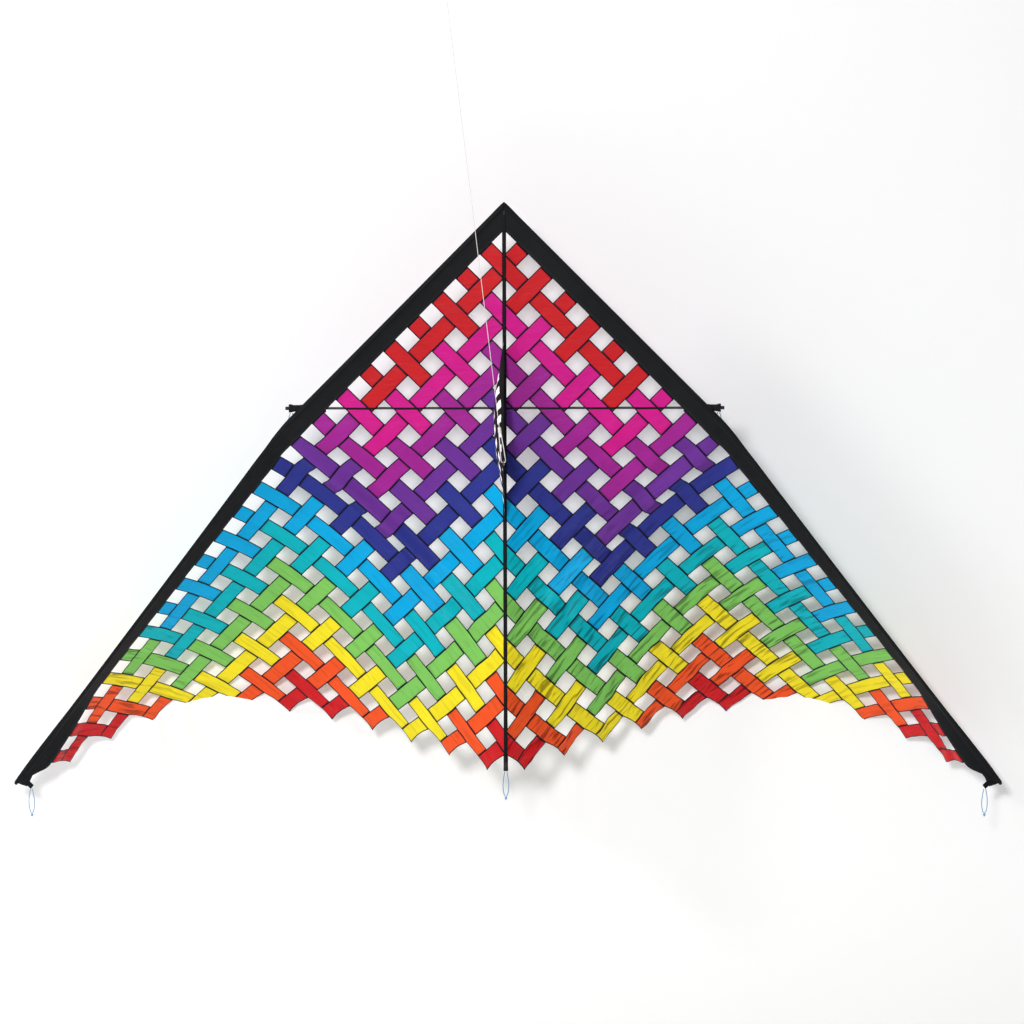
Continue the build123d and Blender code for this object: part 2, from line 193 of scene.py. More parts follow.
def object_place(tree):
    return add(tree, "ShaderNodeTexCoord").outputs["Object"]


def uv_place(tree, name):
    return add(tree, "ShaderNodeUVMap", uv_map=name).outputs[0]


def attribute(tree, name):
    return add(tree, "ShaderNodeAttribute", attribute_name=name).outputs["Fac"]


def split(tree, vector):
    node = add(tree, "ShaderNodeSeparateXYZ")
    tree.links.new(vector, node.inputs[0])
    return node.outputs


def grey(tree, value):
    node = add(tree, "ShaderNodeCombineXYZ")
    for socket in node.inputs:
        tree.links.new(value, socket)
    return node.outputs[0]


def scaled(tree, vector, scale, rotation=(0.0, 0.0, 0.0)):
    node = add(tree, "ShaderNodeMapping")
    node.inputs["Rotation"].default_value = rotation
    node.inputs["Scale"].default_value = scale
    tree.links.new(vector, node.inputs[0])
    return node.outputs[0]


def mottle(tree, vector, scale, detail=2.0, distortion=0.0):
    node = add(tree, "ShaderNodeTexNoise")
    node.inputs["Scale"].default_value = scale
    node.inputs["Detail"].default_value = detail
    node.inputs["Distortion"].default_value = distortion
    tree.links.new(vector, node.inputs["Vector"])
    return node.outputs[0]


def ramped(tree, value, low, high, to_low=0.0, to_high=1.0, ends="SMOOTHSTEP"):
    """The value's run from low to high, stretched from to_low to to_high."""
    node = add(tree, "ShaderNodeMapRange", interpolation_type=ends)
    node.inputs["From Min"].default_value = low
    node.inputs["From Max"].default_value = high
    node.inputs["To Min"].default_value = to_low
    node.inputs["To Max"].default_value = to_high
    tree.links.new(value, node.inputs["Value"])
    return node.outputs[0]


def relief(tree, height, strength, distance, under=None):
    """Bump from a height, over another bump where one is given."""
    node = add(tree, "ShaderNodeBump")
    node.inputs["Strength"].default_value = strength
    node.inputs["Distance"].default_value = distance
    tree.links.new(height, node.inputs["Height"])
    if under is not None:
        tree.links.new(under, node.inputs["Normal"])
    return node.outputs[0]


def dress(tree, shader, tint, roughness, normal):
    tree.links.new(tint, shader.inputs["Base Color"])
    shader.inputs["Roughness"].default_value = roughness
    tree.links.new(normal, shader.inputs["Normal"])


def near_line(tree, value, spacing, width):
    """1 within width of every multiple of spacing, else 0, soft at its edges."""
    part = math_node(tree, "PINGPONG", value, spacing / 2)
    return ramped(tree, part, width * 1.3, width * 0.5)


def square_grid(tree, along, across, spacing, width):
    lines = [near_line(tree, value, spacing, width) for value in (along, across)]
    return math_node(tree, "MAXIMUM", *lines)


# ---- finishes -----------------------------------------------------------------------------------
DYES = (
    "c31e24",
    "cc1886",
    "9e248e",
    "6a3192",
    "2d3488",
    "00a4dc",
    "00b0bc",
    "7dc35c",
    "f2df24",
    "f05423",
    "cc1c22",
)
INK = "0a0b1c"
RIPSTOP_SQUARE = 0.005
RIPSTOP_THREAD = 0.0003
OUTLINE = 0.0022
# Half width of the painted shadow line of the spreader rod seen through the sail.
ROD_SHADOW_HALF_WIDTH = 0.0027
# Run of the painted shadow at each strip's ends, where the crossing strip would shade it.
END_SHADOW_RUN = 0.009
SAIL_GLOSS = 0.10
BLACK_GLOSS = 0.12
WINDOW_PAINTED_GLOW = 0.55


def dyed(tree):
    """The dye of each strip, from the level that its faces carry."""
    dye = add(tree, "ShaderNodeValToRGB")
    ramp = dye.color_ramp
    ramp.interpolation = "CONSTANT"
    while len(ramp.elements) < len(DYES):
        ramp.elements.new(0.5)
    for number, code in enumerate(DYES):
        ramp.elements[number].position = number / len(DYES)
        ramp.elements[number].color = shade(code)
    level = math_node(tree, "ADD", attribute(tree, "level"), 0.5)
    tree.links.new(math_node(tree, "DIVIDE", level, float(len(DYES))), dye.inputs[0])
    return dye.outputs[0]


def painted_crease_shade(tree):
    """Painted shade: thin dark lines in the colour where creases would shade the cloth that hangs slack.
    """
    vector = scaled(tree, uv_place(tree, "net"), (4.0, 0.5, 1.0), (0.0, 0.0, 0.35))
    creases = mottle(tree, vector, 1.0, 3.0, 0.5)
    dark = ramped(tree, creases, 0.50, 0.66, 0.0, 0.75)
    return math_node(tree, "MULTIPLY", dark, attribute(tree, "slack"))


def sail_cloth():
    """Printed ripstop nylon: eleven dyes, dark printed outlines and a fine reinforcing grid, with painted
    shade in slack creases and at strip ends and a painted shadow line of the spreader rod.
    """
    material, tree, shader = new_material("sail_ripstop")
    place = object_place(tree)
    along, across, _ = split(tree, uv_place(tree, "strip"))
    end_gap = math_node(tree, "MINIMUM", along, math_node(tree, "SUBTRACT", 3 * HALF, along))
    side_gap = math_node(tree, "MINIMUM", across, math_node(tree, "SUBTRACT", HALF, across))
    gap = math_node(tree, "MINIMUM", end_gap, side_gap)
    outline = ramped(tree, gap, OUTLINE * 1.35, OUTLINE * 0.75)
    free_edge = ramped(tree, attribute(tree, "free_edge"), 0.38, 0.60)
    ink = math_node(tree, "MAXIMUM", outline, free_edge)

    grid = square_grid(tree, along, across, RIPSTOP_SQUARE, RIPSTOP_THREAD)
    tone = ramped(tree, mottle(tree, place, 14.0, 3.0), 0.0, 1.0, 0.86, 1.12, "LINEAR")
    # Painted shadow: each strip darkens towards its ends, where the crossing strip would shade it.
    painted_end_shadow = ramped(tree, end_gap, 0.0, END_SHADOW_RUN, 0.80, 1.0)
    tone_grid_and_end_shadow = math_node(tree, "MULTIPLY", tone, painted_end_shadow)
    tone_grid_and_end_shadow = math_node(tree, "MULTIPLY", tone_grid_and_end_shadow, math_node(tree, "MULTIPLY_ADD", grid, 0.10, 1.0))
    cloth = mix_colour(tree, 1.0, dyed(tree), grey(tree, tone_grid_and_end_shadow), "MULTIPLY")
    # Painted crease shade: a darker copy of the cloth, mixed in where the slack creases lie.
    shaded = mix_colour(tree, 1.0, cloth, shade("7a7268"), "MULTIPLY")
    cloth = mix_colour(tree, painted_crease_shade(tree), cloth, shaded)

    # Painted shadow: a dark line on the cloth along the spreader rod, for the rod's shade seen through the
    # thin sail.
    rod_height = TOW_BELOW_NOSE - SPREADER_BELOW_NOSE
    from_rod = math_node(tree, "SUBTRACT", split(tree, place)[2], rod_height)
    painted_rod_shadow = math_node(tree, "LESS_THAN", math_node(tree, "ABSOLUTE", from_rod), ROD_SHADOW_HALF_WIDTH)
    inked = mix_colour(tree, ink, cloth, shade(INK))
    rod_shadowed = mix_colour(tree, painted_rod_shadow, inked, shade("100e12"))

    threads = math_node(tree, "MULTIPLY_ADD", mottle(tree, place, 900.0), 0.25, grid)
    fine = relief(tree, threads, 0.5, 0.0002)
    crinkle_place = scaled(tree, place, (26.0, 26.0, 90.0), (0.0, 0.7, 0.0))
    crinkle = mottle(tree, crinkle_place, 1.0, 4.0, 0.6)
    dress(tree, shader, rod_shadowed, 0.45, relief(tree, crinkle, 0.55, 0.0035, fine))
    shader.inputs["Specular IOR Level"].default_value = SAIL_GLOSS
    return material


def woven_black(name, colour, thread, stitch_at=()):
    """Black cloth or webbing on its own UV map in metres, with rows of stitches across it."""
    material, tree, shader = new_material(name)
    along, across, _ = split(tree, uv_place(tree, "cut"))
    grid = square_grid(tree, along, across, thread, thread * 0.09)
    worn = ramped(tree, mottle(tree, object_place(tree), 22.0, 4.0), 0.0, 1.0, 0.7, 1.5, "LINEAR")
    cloth = mix_colour(tree, 1.0, shade(colour), grey(tree, worn), "MULTIPLY")
    cloth = mix_colour(tree, math_node(tree, "MULTIPLY", grid, 0.25), cloth, shade("232327"))
    height = grid
    for row in stitch_at:
        offset = math_node(tree, "ABSOLUTE", math_node(tree, "SUBTRACT", across, row))
        in_row = math_node(tree, "LESS_THAN", offset, 0.0004)
        dash = math_node(tree, "GREATER_THAN", math_node(tree, "PINGPONG", along, 0.0015), 0.0004)
        stitch = math_node(tree, "MULTIPLY", in_row, dash)
        cloth = mix_colour(tree, stitch, cloth, shade("303036"))
        height = math_node(tree, "ADD", height, stitch)
    dress(tree, shader, cloth, 0.6, relief(tree, height, 0.6, 0.0003))
    shader.inputs["Specular IOR Level"].default_value = BLACK_GLOSS
    return material


def carbon():
    """Ground carbon tube, its fibres along the rod."""
    material, tree, shader = new_material("carbon_tube")
    fibre_place = scaled(tree, object_place(tree), (1500.0, 1500.0, 60.0))
    fibres = mottle(tree, fibre_place, 1.0, 5.0)
    tint = mix_colour(tree, fibres, shade("0c0c0d"), shade("2b2b2e"))
    dress(tree, shader, tint, 0.45, relief(tree, fibres, 0.15, 0.0002))
    return material


def moulded(name, dark, pale):
    """Moulded rubber or plastic with a fine matt grain."""
    material, tree, shader = new_material(name)
    grain = mottle(tree, object_place(tree), 700.0, 3.0)
    tint = mix_colour(tree, grain, shade(dark), shade(pale))
    dress(tree, shader, tint, 0.78, relief(tree, grain, 0.35, 0.0003))
    return material


def metal(name, colour, roughness, brushed):
    material, tree, shader = new_material(name)
    scratch = mottle(tree, scaled(tree, object_place(tree), brushed), 1.0, 6.0)
    tint = mix_colour(tree, scratch, shade(colour), shade("f2f2f0"))
    shader.inputs["Metallic"].default_value = 1.0
    dress(tree, shader, tint, roughness, relief(tree, scratch, 0.2, 0.0001))
    return material


def braid(name, colour, dark, pitch):
    """Braided cord: two sets of strands that cross."""
    material, tree, shader = new_material(name)
    place = object_place(tree)
    waves = []
    for lean in (1.0, -1.0):
        wave = add(tree, "ShaderNodeTexWave", bands_direction="DIAGONAL")
        wave.inputs["Scale"].default_value = 0.5
        wave.inputs["Distortion"].default_value = 1.0
        turned = scaled(tree, place, (lean / pitch, lean / pitch, 1.0 / pitch))
        tree.links.new(turned, wave.inputs[0])
        waves.append(wave.outputs["Fac"])
    strands = math_node(tree, "MULTIPLY", *waves)
    tint = mix_colour(tree, strands, shade(dark), shade(colour))
    shader.inputs["Sheen Weight"].default_value = 0.3
    dress(tree, shader, tint, 0.7, relief(tree, strands, 0.5, 0.0004))
    return material


def sheer_window():
    """Pale open mesh with a painted glow: a constant emission stands in for the light behind it showing
    through.
    """
    material, tree, shader = new_material("keel_window")
    threads = add(tree, "ShaderNodeTexVoronoi")
    threads.inputs["Scale"].default_value = 600.0
    tree.links.new(object_place(tree), threads.inputs["Vector"])
    tint = mix_colour(tree, threads.outputs[0], shade("f4f2f0"), shade("d8d6d6"))
    # Painted light: the window glows by its own emission.
    shader.inputs["Emission Color"].default_value = (1.0, 1.0, 1.0, 1.0)
    shader.inputs["Emission Strength"].default_value = WINDOW_PAINTED_GLOW
    dress(tree, shader, tint, 0.5, relief(tree, threads.outputs[0], 0.3, 0.0002))
    return material


SAIL = sail_cloth()
BAND = woven_black("black_ripstop", "121315", RIPSTOP_SQUARE, (-0.0022, -0.0045, -0.0330))
WEBBING = woven_black("black_webbing", "131315", 0.0018, (0.002, 0.014))
KEEL_CLOTH = woven_black("keel_black_ripstop", "121315", RIPSTOP_SQUARE)
KEEL_WINDOW = sheer_window()
CARBON = carbon()
RUBBER = moulded("rubber_cap", "141415", "242426")
ALUMINIUM = metal("aluminium_ferrule", "b4b7ba", 0.32, (1800.0, 60.0, 60.0))
NICKEL = metal("nickel_eyelet", "c9c7c0", 0.22, (400.0, 400.0, 400.0))
BLUE_CORD = braid("blue_cord", "8ec2ea", "5a98c8", 0.0011)
PALE_LINE = braid("pale_line", "fbf6f4", "ece2e0", 0.0008)
PALE_CLIP = moulded("pale_clip", "dcd8d2", "efece6")


# ---- the wind-filled net ------------------------------------------------------------------------
def leading_edge_directions():
    upper = np.array([math.sin(LE_TOP_ANGLE), 0.0, -math.cos(LE_TOP_ANGLE)])
    lower = np.array(
        [
            math.sin(LE_LOW_ANGLE) * math.cos(LE_BACK_ANGLE),
            math.sin(LE_BACK_ANGLE),
            -math.cos(LE_LOW_ANGLE) * math.cos(LE_BACK_ANGLE),
        ]
    )
    return upper, lower


def leading_edge_point(distance):
    """Spar axis of the right wing at a distance from the nose, from the nose."""
    upper, lower = leading_edge_directions()
    turn = math.acos(float(upper @ lower))
    start = SPREADER_BELOW_NOSE / math.cos(LE_TOP_ANGLE) + LE_BEND_BELOW
    across = (lower - upper * math.cos(turn)) / math.sin(turn)
    if distance <= start:
        return upper * distance
    t = min((distance - start) / LE_BEND_RADIUS, turn)
    point = upper * start + LE_BEND_RADIUS * (upper * math.sin(t) + across * (1 - math.cos(t)))
    return point + lower * max(0.0, distance - start - LE_BEND_RADIUS * turn)


def billow():
    """Let the wind push a net of cloth that hangs between the leading edge and the spine."""
    knots = [(m, n) for n in range(-1, LAST // 2 + 1) for m in range(n, LAST - n + 1)]
    index = {knot: i for i, knot in enumerate(knots)}
    points = np.zeros((len(knots), 3))
    free = np.ones(len(knots))
    for (m, n), i in index.items():
        down = (n + 1) * HALF * math.sqrt(2)
        points[i] = np.array([0, 0, -down]) + leading_edge_point((m - n) * HALF)
        if n == -1:
            points[i] = leading_edge_point((m + 1) * HALF)
        if n == -1 or m == n or (m, n) == (LAST, 0):
            free[i] = 0.0
        else:
            points[i][1] += NET_START_SLOPE * (m - n) * HALF
    groups = []
    for dm, dn, share in ((1, 0, 1.0), (0, 1, 1.0), (1, 1, NET_SHEAR), (1, -1, NET_SHEAR)):
        length = HALF * math.hypot(dm, dn)
        for parity in (0, 1):
            pairs = [
                (i, index[(m + dm, n + dn)])
                for (m, n), i in index.items()
                if (m + dm, n + dn) in index and (m if dm else n) % 2 == parity
            ]
            pairs = np.array([p for p in pairs if free[p[0]] + free[p[1]] > 0])
            groups.append((pairs[:, 0], pairs[:, 1], length, share))
    shelf = -SPREADER_BELOW_NOSE - SHELF_CELLS * CELL
    speed = np.zeros_like(points)
    for _ in range(NET_STEPS):
        speed *= NET_DAMPING
        speed[:, 1] += WIND_PUSH * CELL * free
        moved = points + speed * free[:, None]
        for one, two, length, share in groups:
            gap = moved[two] - moved[one]
            span = np.linalg.norm(gap, axis=1)
            pull = (share * (span - length) / (span * (free[one] + free[two])))[:, None] * gap
            moved[one] += pull * free[one][:, None]
            moved[two] -= pull * free[two][:, None]
        above = (moved[:, 2] > shelf) & (free > 0)
        moved[above, 1] = np.minimum(moved[above, 1], SHELF_BACK)
        speed = moved - points
        points = moved
    return {knot: points[i] for knot, i in index.items()}


MARGIN = 4
FRAME_STEP = 0.02


def surface_table():
    """The net with a margin round it, so that a smooth surface can be read off anywhere on it."""
    net = billow()
    mirror = np.array([-1.0, 1.0, 1.0])
    net[(-1, 0)] = net[(0, -1)] * mirror
    for n in (-2, -3, -4):
        for m in range(-1, LAST + 1):
            net[(m, n)] = 2 * net[(m, n + 1)] - net[(m, n + 2)]
    for m, n in list(net):
        net.setdefault((n, m), net[(m, n)] * mirror)
    size = LAST + 2 * MARGIN + 2
    wanted = [(m, n) for m in range(-MARGIN, size - MARGIN) for n in range(-MARGIN, size - MARGIN)]
    for m, n in sorted(wanted, key=lambda knot: (knot[0] + knot[1], knot[0])):
        if (m, n) in net:
            continue
        if (m - 1, n) in net and (m - 2, n) in net:
            net[(m, n)] = 2 * net[(m - 1, n)] - net[(m - 2, n)]
        elif (m, n - 1) in net and (m, n - 2) in net:
            net[(m, n)] = 2 * net[(m, n - 1)] - net[(m, n - 2)]
    table = np.zeros((size, size, 3))
    for m, n in wanted:
        table[m + MARGIN, n + MARGIN] = net.get((m, n), (0.0, 0.0, 0.0))
    return table


TABLE = surface_table()


def smooth_weights(t):
    """Shares of the four neighbours along one way, for a curve that passes through them."""
    return np.stack(
        [
            -0.5 * t + t**2 - 0.5 * t**3,
            1 - 2.5 * t**2 + 1.5 * t**3,
            0.5 * t + 2 * t**2 - 1.5 * t**3,
            -0.5 * t**2 + 0.5 * t**3,
        ]
    )


def on_sail(p, q):
    """Points from the nose on the right half's surface, at half-cell places p and q."""
    p, q = np.asarray(p, float), np.asarray(q, float)
    i, j = np.floor(p).astype(int), np.floor(q).astype(int)
    wp, wq = smooth_weights(p - i), smooth_weights(q - j)
    total = np.zeros(p.shape + (3,))
    for a in range(4):
        for b in range(4):
            knot = TABLE[i + MARGIN - 1 + a, j + MARGIN - 1 + b]
            total += (wp[a] * wq[b])[..., None] * knot
    return total


def sail_frame(p, q):
    """Points of the surface and its unit normals, which point away from the flyer."""
    along = on_sail(p + FRAME_STEP, q) - on_sail(p - FRAME_STEP, q)
    across = on_sail(p, q + FRAME_STEP) - on_sail(p, q - FRAME_STEP)
    normal = np.cross(along, across)
    normal /= np.linalg.norm(normal, axis=-1, keepdims=True)
    normal *= np.sign(normal[..., 1:2])
    return on_sail(p, q), normal


# ---- mesh building ------------------------------------------------------------------------------
def new_piece(name, bm, materials):
    mesh = bpy.data.meshes.new(name)
    bm.to_mesh(mesh)
    bm.free()
    for material in materials:
        mesh.materials.append(material)
    for face in mesh.polygons:
        face.use_smooth = True
    piece = bpy.data.objects.new(name, mesh)
    bpy.context.scene.collection.objects.link(piece)
    return piece


def set_points(bm, points):
    for vert, point in zip(bm.verts, points):
        vert.co = point


def read_points(bm):
    return np.array([v.co for v in bm.verts])


def from_nose(points, side):
    """Row-frame points of the left or right half, from nose-based ones of the right half."""
    return points * np.array([side, 1.0, 1.0]) + np.array(NOSE)


def grid(columns, rows):
    """A flat grid on the unit square."""
    bm = bmesh.new()
    bmesh.ops.create_grid(bm, x_segments=columns, y_segments=rows, size=0.5)
    bmesh.ops.translate(bm, vec=(0.5, 0.5, 0.0), verts=bm.verts)
    return bm


def lofted(columns, rows, shape, uv_shape=None):
    """A grid moved to shape(u, v), and closed where its edges meet."""
    bm = grid(columns, rows)
    flat = read_points(bm)
    layer = bm.loops.layers.uv.new("cut")
    cut = flat[:, :2] if uv_shape is None else uv_shape(flat[:, 0], flat[:, 1])
    bm.verts.index_update()
    for face in bm.faces:
        for loop in face.loops:
            loop[layer].uv = cut[loop.vert.index]
    set_points(bm, shape(flat[:, 0], flat[:, 1]))
    bmesh.ops.remove_doubles(bm, verts=bm.verts, dist=1e-6)
    return bm


def closed_ends(bm):
    open_edges = [e for e in bm.edges if e.is_boundary]
    if open_edges:
        bmesh.ops.holes_fill(bm, edges=open_edges, sides=0)
    bmesh.ops.recalc_face_normals(bm, faces=bm.faces)
    return bm


# ---- woven sail ---------------------------------------------------------------------------------
FINE = 8
SPINE_SIDE = 0.12
SCALLOP = 0.11
SAIL_SHEET = 0.0004
TIP_FOLD, TIP_CREASE = 0.0055, 0.0030
LOW_FAN, LOW_CREASE, LOW_DRAG = 0.0045, 0.0022, 0.0036
ALL_SOFT, ALL_CREASE, ALL_DRAG = 0.0018, 0.0004, 0.0006


def is_cloth(m, n):
    return (m % 2 == 1 or n % 2 == 1) and m + n <= LAST - 2


def strip_at(m, n, side):
    """The strip piece on top at half-cell square (m, n): its crossing, and whether it runs along n."""
    along_n = 0 if side < 0 else 1
    if m % 2 and n % 2:
        i, j = (m - 1) // 2, (n - 1) // 2
    elif m % 2:
        i, j = (m - 1) // 2, n // 2
        if (i + j) % 2 != along_n:
            j -= 1
    else:
        i, j = m // 2, (n - 1) // 2
        if (i + j) % 2 == along_n:
            i -= 1
    return i, j, (i + j) % 2 == along_n


def dye_level(i, j):
    """Which of the eleven dyes a crossing takes, stepping out from the spine and down the sail."""
    a, b = max(i, j), max(min(i, j), 0)
    steps, rest = divmod(a - b, 10)
    return max(0, b + 5 * steps + max(0, rest - 5))


def scalloped(p, q):
    """Pull the trailing edge in between its points."""
    p, q = p.copy(), q.copy()
    m, n = np.floor(p + 1e-6).astype(int), np.floor(q + 1e-6).astype(int)
    m, n = np.minimum(m, LAST), np.minimum(n, LAST)
    new_p, new_q = p.copy(), q.copy()
    for dm, dn in ((0, 0), (-1, 0), (0, -1), (-1, -1)):
        mm, nn = m + dm, n + dn
        corner = LAST - 2 - mm
        t = (q - (corner - 1)) / 2
        hit = (mm % 2 == 1) & (t >= 0) & (t <= 1) & (p - mm >= 0) & (p - mm <= 1.001)
        change = SCALLOP * (p - mm) * 4 * t * (1 - t)
        new_p = np.where(hit & (new_p == p), p - change, new_p)
        corner = LAST - 2 - nn
        t = (p - (corner - 1)) / 2
        hit = (nn % 2 == 1) & (t >= 0) & (t <= 1) & (q - nn >= 0) & (q - nn <= 1.001)
        change = SCALLOP * (q - nn) * 4 * t * (1 - t)
        new_q = np.where(hit & (new_q == q), q - change, new_q)
    return new_p, new_q


def eased(value, low, high):
    t = np.clip((value - low) / (high - low), 0.0, 1.0)
    return t * t * (3 - 2 * t)


def slack_crease_shade_weight(p, q, side):
    """How slack the cloth hangs, 0 to 1: towards the left tip, and low on the right; it weights the
    painted crease shade.
    """
    tip = eased(p - q, 24.0, 40.0) * (0.25 if side > 0 else 1.0)
    low = eased(p + q, 14.0, 40.0) * (1.0 if side > 0 else 0.22)
    low = low * (1.0 - 0.7 * eased(p - q, 24.0, 34.0))
    return np.clip(np.maximum(tip, low), 0.0, 1.0)


def ripples(p, q, side):
    """Ripples out of the cloth's plane: pulled folds towards the tips, slack ones low on the right."""
    tip = eased(p - q, 26.0, 44.0)
    low = eased(p + q, 20.0, 42.0)
    slack = low * (1.0 - eased(p - q, 18.0, 30.0)) * (1.0 if side > 0 else 0.35)
    upper_tip = tip * (1.0 - 0.5 * low)
    out = np.zeros(p.shape)
    for k, (u, v) in enumerate(zip(p, q)):
        seed = 7.0 * side
        fold = noise.noise(Vector((u * 0.16 + v * 0.5, u * 0.9 - v * 1.3, seed)))
        crease = noise.noise(Vector((u * 0.5 + v * 0.7, u * 2.2 - v * 1.6, seed + 3.0)))
        fan = noise.noise(Vector((u * 1.5 + v * 0.35, v * 0.6, seed + 9.0)))
        soft = noise.noise(Vector((u * 0.3, v * 0.3, seed + 5.0)))
        drag = noise.noise(Vector((u * 3.4 + v * 0.5, v * 0.9 - u * 0.2, seed + 12.0)))
        out[k] = upper_tip[k] * (TIP_FOLD * fold + TIP_CREASE * crease)
        out[k] += slack[k] * (LOW_FAN * fan + LOW_CREASE * crease + LOW_DRAG * drag)
        out[k] += ALL_SOFT * soft + ALL_CREASE * crease + ALL_DRAG * drag
    return out * eased(q, 0.0, 1.2) * eased(p - q, 0.1, 2.0)


def woven_sail(name, side):
    wide, high = LAST, LAST // 2 + 1
    bm = grid(wide * FINE, high * FINE)
    flat = read_points(bm) * np.array([wide, high, 0.0])
    set_points(bm, flat)
    outside = []
    for face in bm.faces:
        centre = face.calc_center_median()
        m, n = math.floor(centre.x), math.floor(centre.y)
        if not is_cloth(m, n) or centre.x - centre.y < -1.0:
            outside.append(face)
    bmesh.ops.delete(bm, geom=outside, context="FACES")

    everything = bm.verts[:] + bm.edges[:] + bm.faces[:]
    bmesh.ops.bisect_plane(
        bm,
        geom=everything,
        plane_co=(SPINE_SIDE, 0.0, 0.0),
        plane_no=Vector((-1.0, 1.0, 0.0)).normalized(),
        clear_outer=True,
        dist=1e-5,
    )

    strip = bm.loops.layers.uv.new("strip")
    net_map = bm.loops.layers.uv.new("net")
    level = bm.faces.layers.float.new("level")
    bm.faces.ensure_lookup_table()
    for face in bm.faces:
        centre = face.calc_center_median()
        m, n = math.floor(centre.x), math.floor(centre.y)
        i, j, runs_along_n = strip_at(m, n, side)
        face[level] = dye_level(i, j)
        for loop in face.loops:
            x, y = loop.vert.co.x, loop.vert.co.y
            loop[net_map].uv = (x, y)
            if runs_along_n:
                loop[strip].uv = ((y - 2 * j) * HALF, (x - 2 * i - 1) * HALF)
            else:
                loop[strip].uv = ((x - 2 * i) * HALF, (y - 2 * j - 1) * HALF)

    flat = read_points(bm)
    p, q = scalloped(flat[:, 0], flat[:, 1])
    points, normals = sail_frame(p, q)
    points = points + normals * ripples(p, q, side)[:, None]
    free_edge = bm.verts.layers.float.new("free_edge")
    # The slack attribute only weights the painted crease shade in the sail's material.
    slack = bm.verts.layers.float.new("slack")
    for vert, amount in zip(bm.verts, slack_crease_shade_weight(p, q, side)):
        vert[slack] = amount
        vert[free_edge] = float(vert.is_boundary)
    set_points(bm, from_nose(points, side))
    bmesh.ops.recalc_face_normals(bm, faces=bm.faces)
    piece = new_piece(name, bm, [SAIL])
    thick = piece.modifiers.new("thickness", "SOLIDIFY")
    thick.thickness = SAIL_SHEET
    thick.offset = 0.0
    return piece


def blended(piece):
    """Bakes the piece's placement into its mesh."""
    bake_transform(piece)


for half_name, side in SIDES.items():
    sail = woven_sail(f"{half_name}_woven_sail", side)
    blended(sail)
    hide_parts(f"{half_name}_sail")


# ---- leading edge band --------------------------------------------------------------------------
BAND_EDGE = -1.18
BAND_RING = 44


def band_thickness(q):
    """Half the band's thickness: two flat layers that open round the spar."""
    flat_part = 0.0006
    tube = 0.0044 * np.exp(-(((q + 1.0) / 0.135) ** 4))
    edge = np.sqrt(np.clip(1.0 - ((np.minimum(q, -1.0) + 1.0) / 0.18) ** 2, 0.0, 1.0))
    return (flat_part + tube) * edge


def band_place(u, v):
    """Half-cell place and side (front -1, back +1) of a point of the band's ring."""
    turn = np.where(v < 0.5, v * 2, 2 - v * 2)
    bend = turn + 0.10 * np.sin(2 * np.pi * turn)
    q = bend * BAND_EDGE
    q = np.where(turn > 0.999999, BAND_EDGE, q)
    end = LAST + 0.5 * (q / BAND_EDGE)
    p = q + u * (end - q)
    t = np.clip((p - (LAST - 1.9)) / 1.9, 0, 1)
    narrowed = 0.50 * eased(t, 0.0, 0.60) - 0.22 * eased(t, 0.62, 1.0)
    q_out = q - narrowed * np.clip(1 + q / 0.9, 0, 1)
    front = np.where(v < 0.5, -1.0, 1.0)
    return p, q_out, front, turn


def edge_band(name, side):
    def shape(u, v):
        p, q, front, turn = band_place(u, v)
        points, normals = sail_frame(p, q)
        half_thick = band_thickness(q)
        puckers = np.array([noise.noise(Vector((a * 1.1, b * 2.0, 4.0 * side))) for a, b in zip(p, q)])
        calm = eased(q, -0.75, -0.2) * 0.0008 * puckers
        points = points + normals * (front * half_thick + calm)[:, None]
        return from_nose(points, side)

    def cut(u, v):
        p, q, _, _ = band_place(u, v)
        return np.stack([p * HALF, q * HALF], axis=1)

    bm = closed_ends(lofted(380, BAND_RING, shape, cut))
    return new_piece(name, bm, [BAND])


for half_name, side in SIDES.items():
    band = edge_band(f"{half_name}_edge_band", side)
    blended(band)
    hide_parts(f"{half_name}_leading_edge_facing", f"{half_name}_leading_edge_sleeve")


# ---- spine tape ---------------------------------------------------------------------------------
def spine_tape():
    half_width, front, wrap = 0.0035, -0.0014, 0.0047
    top, bottom = -0.020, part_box("spine_sleeve")[0].z - NOSE.z

    def shape(u, v):
        angle = 2 * np.pi * v
        x = wrap * np.sin(angle)
        y = SPINE_BACK - wrap * np.cos(angle)
        x = np.where(y < front, np.clip(x * 1.6, -half_width, half_width), x)
        y = np.maximum(y, front)
        z = top + u * (bottom - top)
        wander = np.array([noise.noise(Vector((0.0, 2.0, a * 9.0))) for a in z])
        x = x * (1.0 + 0.10 * wander)
        return np.stack([x, y, z], axis=1) + np.array(NOSE)

    def cut(u, v):
        return np.stack([u * (top - bottom), (v - 0.5) * 2 * np.pi * wrap], axis=1)

    bm = closed_ends(lofted(220, 28, shape, cut))
    return new_piece("spine_sleeve_tape", bm, [BAND])


tape = spine_tape()
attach(tape, "frame")
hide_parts("spine_sleeve")


# ---- keel ---------------------------------------------------------------------------------------
KEEL_BULGE = 0.024
KEEL_SQUARE = 0.029
KEEL_SHEET = 0.0009
KEEL_HEM = 0.020
KEEL_ROOT_HEM = 0.04
KEEL_EDGE_PULL = 0.010
KEEL_GATHER = 0.0012
EYELET_PATCH = 0.030
EYELET_CUT = 0.0052


